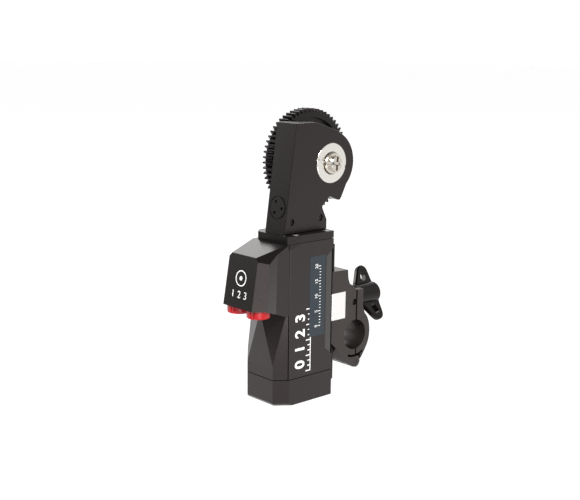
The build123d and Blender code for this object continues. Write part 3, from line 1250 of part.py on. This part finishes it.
def swing_screw():
    """Eye bolt on the pivot pin, which the knob runs on."""
    shape = rod_x(PIVOT_Y, PIVOT_Z, EYE_R, -EYE_HALF, EYE_HALF)
    shape += rod_y(0, PIVOT_Z, STUD_R, PIVOT_Y, STUD_END)
    return shape - rod_x(PIVOT_Y, PIVOT_Z, PIVOT_R + RUN, -BIG, BIG)


def thrust_washer():
    y0 = PIVOT_Y + EAR_R + RUN
    return rod_y(0, PIVOT_Z, WASHER_R, y0, y0 + WASHER_THICK) - rod_y(0, PIVOT_Z, STUD_R + RUN, 0, BIG / 2)


def wing(plane):
    """One wing of the knob, with a rounded window, in the plane of the knob's axis."""
    curve = Spline(*WING)
    last, first = WING[-1], WING[0]
    root = Polyline(last, (0, last[1]), (0, first[1]), first)
    face = make_face(Wire([*curve.edges(), *root.edges()]))
    window = Pos(*WING_WINDOW) * Rot(0, 0, WING_WINDOW_TURN) * SlotOverall(*WING_WINDOW_SIZE)
    solid = extrude(plane * face, WING_HALF, both=True)
    curved = solid.edges().filter_by(GeomType.BSPLINE)
    return fillet(curved, WING_EDGE) - extrude(plane * window, 2 * WING_HALF, both=True)


def knob():
    """Clamping nut with two wings, on the eye bolt's thread."""
    y0 = PIVOT_Y + KNOB_START
    y1 = y0 + KNOB_LENGTH
    shape = rod_y(0, PIVOT_Z, KNOB_HUB_R, y0, y1)
    shape = fillet(shape.edges().filter_by(GeomType.CIRCLE).sort_by(Axis.Y)[-1:], 1.6)
    for turn in (0, 180):
        lean = radians(KNOB_TURN + turn)
        out = Vector(-sin(lean), 0, cos(lean))
        plane = Plane(origin=(0, y0, PIVOT_Z), x_dir=out, z_dir=out.cross(Vector(0, 1, 0)))
        shape += wing(plane)
    return shape - rod_y(0, PIVOT_Z, STUD_R + RUN, y0 - 1, STUD_END + 0.6)


def rear_nodes():
    save("rear_rail", rear_rail())
    save("rail_screws", *rail_screws())
    save("clamp_console", clamp_console())
    save("release_block", release_block())
    save("release_spring", release_spring())
    save("clamp_jaw", clamp_jaw())
    save("hinge_pin", hinge_pin())
    save("pivot_pin", pivot_pin())
    save("swing_screw", swing_screw())
    save("thrust_washer", thrust_washer())
    save("clamp_knob", knob())


def housing_nodes():
    save("main_housing", main_housing())
    save("front_shell", front_shell())
    save("base_cap", base_cap())
    save("base_seal", base_seal())
    save("front_seal", front_seal())
    save("base_screws", *base_screws())
    save("flange_screws", *flange_screws())
    save("side_label", label_plate())


def electric_nodes():
    save("light_ring", light_ring())
    save("push_button", push_button())
    save("button_dot", button_dot())
    save("switch_board", switch_board())
    save("control_board", control_board())
    save("sockets", *sockets())
    save("dust_cap_left", dust_cap(-1))
    save("dust_cap_right", dust_cap(1))
    save("motor_can", motor_can())
    save("gearhead", gearhead())
    save("rotor_shaft", rotor())
    save("encoder_disc", encoder_disc())
    save("encoder_board", encoder_board())


def arm_nodes():
    save("arm_housing", arm_housing())
    save("arm_cover", arm_cover())
    save("arm_screws", *arm_screws())
    save("front_plug", front_plug())
    save("lay_shaft", lay_shaft())
    save("lay_pin", lay_pin())
    save("idler_gear", idler_gear())
    save("idler_pin", idler_pin())
    save("bevel_pinion", bevel_pinion())
    save("output_gear", output_gear())
    save("output_shaft", output_shaft())
    save("bearing_outer_rings", *bearing_rings(BEARING_R, RACE_R + RACE_GAP))
    save("bearing_inner_rings", *bearing_rings(RACE_R - RACE_GAP, SHAFT_R))
    save("bearing_balls", *bearing_balls())
    save("bearing_retainer", bearing_retainer())
    save("shaft_collet", shaft_collet())
    save("collet_screw", collet_screw())
    save("drive_gear", drive_gear())
    save("gear_hub", gear_hub())
    save("gear_screws", *gear_screws())
    save("shaft_end_screw", shaft_end_screw())


os.makedirs("parts", exist_ok=True)
housing_nodes()
electric_nodes()
arm_nodes()
rear_nodes()
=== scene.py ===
"""Lens focus motor, dressed for a studio shot on a white floor."""
import math

import bmesh
import bpy
from mathutils import Matrix, Vector


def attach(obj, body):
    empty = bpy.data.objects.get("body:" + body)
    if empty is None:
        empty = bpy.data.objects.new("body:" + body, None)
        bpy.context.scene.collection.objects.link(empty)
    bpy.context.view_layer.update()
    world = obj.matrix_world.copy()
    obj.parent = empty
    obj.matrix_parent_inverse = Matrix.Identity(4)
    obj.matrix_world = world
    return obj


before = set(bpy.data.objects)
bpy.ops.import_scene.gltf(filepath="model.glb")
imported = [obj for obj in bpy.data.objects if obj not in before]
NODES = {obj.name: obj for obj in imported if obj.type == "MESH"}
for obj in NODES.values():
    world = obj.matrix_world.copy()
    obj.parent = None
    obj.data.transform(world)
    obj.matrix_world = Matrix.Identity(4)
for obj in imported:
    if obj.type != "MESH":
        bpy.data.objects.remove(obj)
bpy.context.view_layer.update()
MM = 0.001

# Camera
LENS = 64.75
SENSOR = 36.0
CAMERA_PLACE = (0.356322, -0.322803, 0.168330)
CAMERA_RIGHT = (0.6694807, 0.7427378, 0.0116718)
CAMERA_UP = (-0.1544386, 0.1238025, 0.9802151)

# Studio
MIDDLE = (0, 0, 0.07)           # where the lights point
WORLD = 1.0                     # brightness of the surroundings
ZENITH = 0.12                   # share of it straight above
DARK_SIDE = 0.12                # share of it on the near side
NEAR_SIDE = (0.17, -0.985, 0.0)
FLOOR_HALF = 6.0                # half the floor's width, m
FLOOR_SPAN = 1.0                # half the length of the floor's 0 to 1 ramp, m
FLOOR_EDGE = (0.0, -1.0, 0.0)
FLOOR_WHITE = 0.19              # how far the floor stays white on that side before its painted shade, m
FLOOR_TONE = 0.30               # colour of the white part
FLOOR_GLOW = 0.80               # and its light
FLOOR_FADE = 0.04               # width of the white part's edge on that ramp

# Surfaces
PLAIN = (1.0, 1.0, 1.0, 1.0)
WARM = (1.0, 0.87, 0.86, 1.0)   # tint of the sheen on the black pieces
GRAIN_DEPTH = 0.00002           # depth of blasted grain and tool marks, m
RING_DEPTH = 0.00001            # depth of turned rings, m
RING_SCALE = 0.314              # wave scale times the pitch of the rings, m
SHAFT_AXIS = (19.35 * MM, 111.75 * MM)    # Y and Z of the drive shaft
WELD_REACH = 0.000002           # corners nearer than this are joined, m
BEVEL_ANGLE = 11                # degrees; flatter edges stay sharp

# Printed marks, in mm
INK = 0.02                      # how far they stand above the surface
CAPITAL = 0.69                  # height of a capital as a share of the font's size
SIDE_X = 12.2                   # the housing's side face
LABEL_X = 12.26                 # the label's face
FACE_TOP = (-28.15, 72.6)       # Y and Z of the box's front face at its upper edge
FACE_LOW = (-32.05, 48.5)       # and at its lower edge
ACROSS = (1, 0, 0)
RISING = (0, 0, 1)
FORWARD = (0, -1, 0)
FACE_UP = Vector((0, FACE_TOP[0] - FACE_LOW[0], FACE_TOP[1] - FACE_LOW[1])).normalized()


# Camera, lights and floor

def add_camera():
    """Camera at the photograph's place, no shift."""
    data = bpy.data.cameras.new("camera")
    data.lens = LENS
    data.sensor_width = SENSOR
    data.clip_start = 0.01
    camera = bpy.data.objects.new("camera", data)
    bpy.context.scene.collection.objects.link(camera)
    right = Vector(CAMERA_RIGHT)
    up = Vector(CAMERA_UP)
    back = right.cross(up)
    turn = Matrix((right, up, back)).transposed().to_4x4()
    camera.matrix_world = Matrix.Translation(CAMERA_PLACE) @ turn
    bpy.context.scene.camera = camera


def add_area(name, place, aim, size, power):
    """Soft rectangular light at a place, turned to a point."""
    data = bpy.data.lights.new(name, "AREA")
    data.shape = "RECTANGLE"
    data.size, data.size_y = size
    data.energy = power
    light = bpy.data.objects.new(name, data)
    bpy.context.scene.collection.objects.link(light)
    light.location = place
    way = Vector(aim) - Vector(place)
    light.rotation_euler = way.to_track_quat("-Z", "Y").to_euler()


def add_floor():
    """White glowing floor, painted dark far out on the near side: painted shade where the studio is
    dark.
    """
    mesh = bpy.data.meshes.new("floor")
    half = FLOOR_HALF
    corners = [(-half, -half, 0), (half, -half, 0), (half, half, 0), (-half, half, 0)]
    mesh.from_pydata(corners, [], [(0, 1, 2, 3)])
    floor = bpy.data.objects.new("floor", mesh)
    bpy.context.scene.collection.objects.link(floor)
    material, shader, tree = new_material("floor_white")
    place = tree.nodes.new("ShaderNodeTexCoord")
    near = along(tree, place.outputs["Object"], FLOOR_EDGE, FLOOR_SPAN)
    edge = 0.5 + FLOOR_WHITE / FLOOR_SPAN / 2
    # Past the white part the floor's colour and glow fall to near black: painted shade of the studio's
    # dark near side.
    tone = ramp(tree, near, [(edge, FLOOR_TONE), (edge + FLOOR_FADE, 0.05)])
    tree.links.new(tone, shader.inputs["Base Color"])
    glow = ramp(tree, near, [(edge, 1.0), (edge + FLOOR_FADE, 0.0)])
    tree.links.new(glow, shader.inputs["Emission Color"])
    shader.inputs["Emission Strength"].default_value = FLOOR_GLOW
    shader.inputs["Roughness"].default_value = 0.8
    shader.inputs["Specular IOR Level"].default_value = 0.1
    mesh.materials.append(material)


def along(tree, source, way, span):
    """How far a vector points along a way, as 0 to 1 for -span to span."""
    dot = tree.nodes.new("ShaderNodeVectorMath")
    dot.operation = "DOT_PRODUCT"
    dot.inputs[1].default_value = way
    tree.links.new(source, dot.inputs[0])
    scale = tree.nodes.new("ShaderNodeMapRange")
    scale.inputs["From Min"].default_value = -span
    scale.inputs["From Max"].default_value = span
    tree.links.new(dot.outputs["Value"], scale.inputs["Value"])
    return scale.outputs["Result"]


def add_world():
    """Surroundings white on the far side, dark straight above and on the near side."""
    world = bpy.data.worlds.new("studio")
    world.use_nodes = True
    tree = world.node_tree
    background = tree.nodes["Background"]
    place = tree.nodes.new("ShaderNodeTexCoord")
    sky = place.outputs["Generated"]
    height = along(tree, sky, (0, 0, 1), 1.0)
    near = along(tree, sky, NEAR_SIDE, 1.0)
    tone = tree.nodes.new("ShaderNodeMath")
    tone.operation = "MULTIPLY"
    tree.links.new(ramp(tree, height, [(0.80, 1.0), (0.93, ZENITH)]), tone.inputs[0])
    tree.links.new(ramp(tree, near, [(0.72, 1.0), (0.82, 0.6), (0.91, DARK_SIDE)]), tone.inputs[1])
    tree.links.new(tone.outputs["Value"], background.inputs["Color"])
    background.inputs["Strength"].default_value = WORLD
    bpy.context.scene.world = world
    bpy.context.scene.view_settings.view_transform = "Standard"
    bpy.context.scene.view_settings.look = "None"


# Materials

def new_material(name):
    """Empty material with a Principled shader."""
    material = bpy.data.materials.new(name)
    material.use_nodes = True
    tree = material.node_tree
    shader = tree.nodes["Principled BSDF"]
    return material, shader, tree


def noise(tree, scale, detail=4.0, rough=0.6, stretch=(1, 1, 1)):
    """Noise in object space, with its scale in features per metre."""
    place = tree.nodes.new("ShaderNodeTexCoord")
    mapping = tree.nodes.new("ShaderNodeMapping")
    mapping.inputs["Scale"].default_value = stretch
    texture = tree.nodes.new("ShaderNodeTexNoise")
    texture.inputs["Scale"].default_value = scale
    texture.inputs["Detail"].default_value = detail
    texture.inputs["Roughness"].default_value = rough
    tree.links.new(place.outputs["Object"], mapping.inputs["Vector"])
    tree.links.new(mapping.outputs["Vector"], texture.inputs["Vector"])
    return texture.outputs["Fac"]


def ramp(tree, source, stops):
    """Colour ramp over a 0 to 1 value; stops are (position, colour or grey)."""
    node = tree.nodes.new("ShaderNodeValToRGB")
    elements = node.color_ramp.elements
    while len(elements) < len(stops):
        elements.new(0.5)
    for element, (position, value) in zip(elements, stops):
        element.position = position
        colour = value if isinstance(value, tuple) else (value, value, value)
        element.color = (*colour, 1)
    tree.links.new(source, node.inputs["Fac"])
    return node.outputs["Color"]


def bump(tree, shader, source, strength, distance):
    """Relief from a 0 to 1 value; distance is its depth in metres."""
    node = tree.nodes.new("ShaderNodeBump")
    node.inputs["Strength"].default_value = strength
    node.inputs["Distance"].default_value = distance
    tree.links.new(source, node.inputs["Height"])
    tree.links.new(node.outputs["Normal"], shader.inputs["Normal"])


def anodised(name, colour, rough=0.36, spread=0.15, grain=0.02, specular=0.5, tint=WARM):
    """Black anodised or painted metal: fine blasted grain, soft sheen, faint marks."""
    material, shader, tree = new_material(name)
    patches = noise(tree, 90.0, 3.0)
    dark = tuple(c * (1 - spread) for c in colour)
    light = tuple(c * (1 + spread) for c in colour)
    tone = ramp(tree, patches, [(0.35, dark), (0.65, light)])
    tree.links.new(tone, shader.inputs["Base Color"])
    marks = noise(tree, 1600.0, 4.0, 0.6)
    gloss = ramp(tree, marks, [(0.3, rough - 0.02), (0.7, rough + 0.03)])
    tree.links.new(gloss, shader.inputs["Roughness"])
    shader.inputs["Specular IOR Level"].default_value = specular
    shader.inputs["Specular Tint"].default_value = tint
    bump(tree, shader, noise(tree, 9000.0, 2.0, 0.5), grain, GRAIN_DEPTH)
    return material


def bright(name, colour, rough=0.25, stretch=(1, 1, 1), scale=2500.0, grain=0.12):
    """Bare or plated metal with fine tool marks."""
    material, shader, tree = new_material(name)
    lines = noise(tree, scale, 3.0, 0.6, stretch)
    tone = ramp(tree, lines, [(0.3, tuple(c * 0.86 for c in colour)), (0.7, colour)])
    tree.links.new(tone, shader.inputs["Base Color"])
    gloss = ramp(tree, lines, [(0.3, rough - 0.05), (0.7, rough + 0.1)])
    tree.links.new(gloss, shader.inputs["Roughness"])
    shader.inputs["Metallic"].default_value = 1.0
    bump(tree, shader, lines, grain, GRAIN_DEPTH)
    return material


def plastic(name, colour, rough=0.4, grain=0.1, scale=3000.0, coat=0.0, specular=0.5, tint=PLAIN):
    """Moulded plastic or rubber with a fine skin."""
    material, shader, tree = new_material(name)
    patches = noise(tree, 150.0, 3.0)
    tone = ramp(tree, patches, [(0.3, tuple(c * 0.88 for c in colour)), (0.7, colour)])
    tree.links.new(tone, shader.inputs["Base Color"])
    gloss = ramp(tree, noise(tree, 900.0, 5.0), [(0.3, rough - 0.05), (0.7, rough + 0.07)])
    tree.links.new(gloss, shader.inputs["Roughness"])
    shader.inputs["Coat Weight"].default_value = coat
    shader.inputs["Specular IOR Level"].default_value = specular
    shader.inputs["Specular Tint"].default_value = tint
    bump(tree, shader, noise(tree, scale, 3.0), grain, GRAIN_DEPTH)
    return material


def turned(name, colour, rough, centre, pitch=0.00045, strength=0.25, aniso=0.6):
    """Turned metal with fine rings round an axis along X."""
    material, shader, tree = new_material(name)
    place = tree.nodes.new("ShaderNodeTexCoord")
    mapping = tree.nodes.new("ShaderNodeMapping")
    mapping.inputs["Location"].default_value = (0, -centre[0], -centre[1])
    wave = tree.nodes.new("ShaderNodeTexWave")
    wave.wave_type = "RINGS"
    wave.rings_direction = "X"
    wave.inputs["Scale"].default_value = RING_SCALE / pitch
    wave.inputs["Distortion"].default_value = 0.6
    wave.inputs["Detail"].default_value = 2.0
    tree.links.new(place.outputs["Object"], mapping.inputs["Vector"])
    tree.links.new(mapping.outputs["Vector"], wave.inputs["Vector"])
    lines = wave.outputs["Fac"]
    tone = ramp(tree, lines, [(0.2, tuple(c * 0.93 for c in colour)), (0.8, colour)])
    tree.links.new(tone, shader.inputs["Base Color"])
    gloss = ramp(tree, noise(tree, 900.0, 4.0), [(0.3, rough - 0.04), (0.7, rough + 0.06)])
    tree.links.new(gloss, shader.inputs["Roughness"])
    tangent = tree.nodes.new("ShaderNodeTangent")
    tangent.direction_type = "RADIAL"
    tangent.axis = "X"
    tree.links.new(tangent.outputs["Tangent"], shader.inputs["Tangent"])
    shader.inputs["Anisotropic"].default_value = aniso
    shader.inputs["Metallic"].default_value = 1.0
    bump(tree, shader, lines, strength, RING_DEPTH)
    return material


def ink(name, text, size, place, right, up, material, bold=0.0):
    """Printed characters, a hair above the surface at a place; size is their height in mm."""
    curve = bpy.data.curves.new(name, "FONT")
    curve.body = text
    curve.size = size / CAPITAL * MM
    curve.align_x = "CENTER"
    curve.align_y = "CENTER"
    curve.extrude = INK * MM
    curve.offset = bold * MM
    lettering = bpy.data.objects.new(name + "_curve", curve)
    bpy.context.scene.collection.objects.link(lettering)
    bpy.context.view_layer.update()
    graph = bpy.context.evaluated_depsgraph_get()
    mesh = bpy.data.meshes.new_from_object(lettering.evaluated_get(graph))
    bpy.data.objects.remove(lettering)
    right, up = Vector(right), Vector(up)
    turn = Matrix((right, up, right.cross(up))).transposed().to_4x4()
    mesh.transform(Matrix.Translation(Vector(place) * MM) @ turn)
    return add_piece(name, mesh, material)


def strokes(name, bars, place, right, up, material):
    """Printed bars; each bar is (left, low, right, high) in mm from the place."""
    right, up = Vector(right), Vector(up)
    out = right.cross(up)
    form = bmesh.new()
    for x0, y0, x1, y1 in bars:
        corners = []
        for depth in (-INK, INK):
            for x, y in ((x0, y0), (x1, y0), (x1, y1), (x0, y1)):
                corners.append(form.verts.new((Vector(place) + right * x + up * y + out * depth) * MM))
        low, high = corners[:4], corners[4:]
        form.faces.new(list(reversed(low)))
        form.faces.new(high)
        for k in range(4):
            form.faces.new((low[k], low[(k + 1) % 4], high[(k + 1) % 4], high[k]))
    mesh = bpy.data.meshes.new(name)
    form.to_mesh(mesh)
    form.free()
    return add_piece(name, mesh, material)


def scale(pitch, count, group, half, long, short):
    """Bars of a plain scale, with a long one at the start of each group."""
    bars = []
    for step in range(count):
        length = short if step % group else long
        bars.append((pitch * step - half, 0.0, pitch * step + half, length))
    return bars


def face_point(z):
    """Y and Z of a point on the leaning front face, in mm."""
    share = (FACE_TOP[1] - z) / (FACE_TOP[1] - FACE_LOW[1])
    return FACE_TOP[0] + share * (FACE_LOW[0] - FACE_TOP[0]), z


def add_piece(name, mesh, material, body="housing"):
    """Printed piece that rides on a body."""
    mesh.materials.clear()
    mesh.materials.append(material)
    piece = bpy.data.objects.new(name, mesh)
    bpy.context.scene.collection.objects.link(piece)
    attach(piece, body)
    return piece


def dress(material, *names):
    """Gives CAD nodes a material."""
    for name in names:
        mesh = NODES[name].data
        if not mesh.materials:
            mesh.materials.append(material)
        for index in range(len(mesh.materials)):
            mesh.materials[index] = material


def soften(width, *names):
    """Narrow bevel on the edges of CAD nodes, so that they catch the light."""
    for name in names:
        piece = NODES[name]
        weld = piece.modifiers.new("weld", "WELD")
        weld.merge_threshold = WELD_REACH
        bevel = piece.modifiers.new("bevel", "BEVEL")
        bevel.width = width * MM
        bevel.segments = 2
        bevel.limit_method = "ANGLE"
        bevel.angle_limit = math.radians(BEVEL_ANGLE)
        bevel.use_clamp_overlap = True
        bevel.harden_normals = True


add_camera()
add_world()
add_floor()
add_area("key", (0.62, -0.66, 0.80), MIDDLE, (0.22, 0.22), 17)
add_area("back", (-1.10, 0.68, 0.84), MIDDLE, (0.9, 0.7), 4.2)
add_area("left", (-1.20, -0.30, 0.30), MIDDLE, (0.6, 0.5), 2.6)
add_area("low", (0.23, -0.145, 0.002), (0.23, -0.145, 1.0), (0.16, 0.14), 0.25)
add_area("right", (0.82, -0.46, 0.11), MIDDLE, (0.36, 0.26), 0.8)

black_body = anodised("black_body", (0.0022, 0.0014, 0.0015), 0.28)
black_arm = anodised("black_arm", (0.0018, 0.0010, 0.0011), 0.28, specular=0.42)
rail_black = anodised("rail_black", (0.0010, 0.0006, 0.0006), 0.32, specular=0.25)
clamp_black = anodised("clamp_black", (0.0110, 0.0090, 0.0075), 0.32)
knob_black = plastic("knob_black", (0.0012, 0.0008, 0.0007), 0.13, 0.02, specular=0.25, tint=WARM)
gear_black = plastic("gear_black", (0.0012, 0.0008, 0.0007), 0.27, 0.03, specular=0.3, tint=WARM)
black_plastic = plastic("black_plastic", (0.0022, 0.0014, 0.0015), 0.28)
white_ink = plastic("white_ink", (0.88, 0.88, 0.87), 0.5)
red_cap = plastic("red_cap", (0.40, 0.001, 0.004), 0.16, 0.03, specular=0.4)
seal_black = plastic("seal_black", (0.001, 0.001, 0.001), 0.8, specular=0.0)
label_film = plastic("label_film", (0.0045, 0.0140, 0.0220), 0.30, 0.04)
board_green = plastic("board_green", (0.02, 0.09, 0.04), 0.35)
nickel = turned("nickel", (0.74, 0.715, 0.67), 0.20, SHAFT_AXIS)
nickel_nose = turned("nickel_nose", (0.62, 0.58, 0.52), 0.20, SHAFT_AXIS)
steel = bright("steel", (0.62, 0.62, 0.62), 0.28)
bright_steel = bright("bright_steel", (0.95, 0.94, 0.93), 0.42)
dark_steel = anodised("dark_steel", (0.004, 0.004, 0.004), 0.30)
milled = bright("milled", (0.90, 0.88, 0.86), 0.34)
brass = bright("brass", (0.72, 0.55, 0.26), 0.3)
motor_steel = bright("motor_steel", (0.45, 0.45, 0.46), 0.33)
socket_metal = bright("socket_metal", (0.50, 0.46, 0.40), 0.3)

dress(black_body, "main_housing", "front_shell", "base_cap")
dress(black_arm, "arm_housing", "arm_cover", "front_plug")
dress(rail_black, "rear_rail")
dress(clamp_black, "clamp_console", "clamp_jaw")
dress(knob_black, "clamp_knob")
dress(gear_black, "drive_gear")
dress(black_plastic, "push_button")
dress(white_ink, "button_dot", "light_ring")
dress(red_cap, "dust_cap_left", "dust_cap_right")
dress(seal_black, "base_seal", "front_seal")
dress(label_film, "side_label")
dress(board_green, "switch_board", "control_board", "encoder_board")
dress(nickel, "bearing_retainer")
dress(nickel_nose, "shaft_collet")
dress(steel, "collet_screw", "output_shaft", "gear_hub", "swing_screw", "release_spring", "rotor_shaft")
dress(steel, "lay_pin", "idler_pin", "encoder_disc")
dress(steel, "bearing_outer_rings", "bearing_inner_rings", "bearing_balls")
dress(bright_steel, "flange_screws")
dress(dark_steel, "base_screws", "arm_screws", "rail_screws", "gear_screws", "shaft_end_screw")
dress(dark_steel, "hinge_pin", "pivot_pin", "thrust_washer")
dress(milled, "release_block")
dress(brass, "lay_shaft", "idler_gear", "bevel_pinion", "output_gear")
dress(motor_steel, "motor_can", "gearhead")
dress(socket_metal, "sockets")

soften(0.25, "main_housing", "base_cap", "arm_cover", "rear_rail")
soften(0.25, "clamp_console", "clamp_jaw", "release_block")
soften(0.12, "drive_gear", "bearing_retainer", "shaft_collet")

# Printed marks: numbers on the box's face, a plain scale on the side, ticks on the label
for number, x in ((1, -4.3), (2, 0.0), (3, 4.3)):
    ink(f"face_number_{number}", str(number), 3.3, (x, *face_point(54.6)), ACROSS, FACE_UP, white_ink)
for number in range(4):
    spot = (SIDE_X, -3.9, 19.0 + 7.5 * number)
    ink(f"side_number_{number}", str(number), 5.6, spot, RISING, FORWARD, white_ink, 0.22)
bars = scale(2.5, 13, 3, 0.25, 2.6, 1.5)
bars.append((-0.25, -0.5, 30.25, 0.0))
strokes("side_scale", bars, (SIDE_X, 2.2, 15.2), RISING, FORWARD, white_ink)
for number in range(5):
    spot = (LABEL_X, 5.9, 36.0 + 7.2 * number)
    ink(f"label_number_{number}", str(5 * number), 1.7, spot, RISING, FORWARD, white_ink)
bars = scale(1.44, 21, 5, 0.15, 1.6, 0.9)
strokes("label_scale", bars, (LABEL_X, 8.6, 36.0), RISING, FORWARD, white_ink)
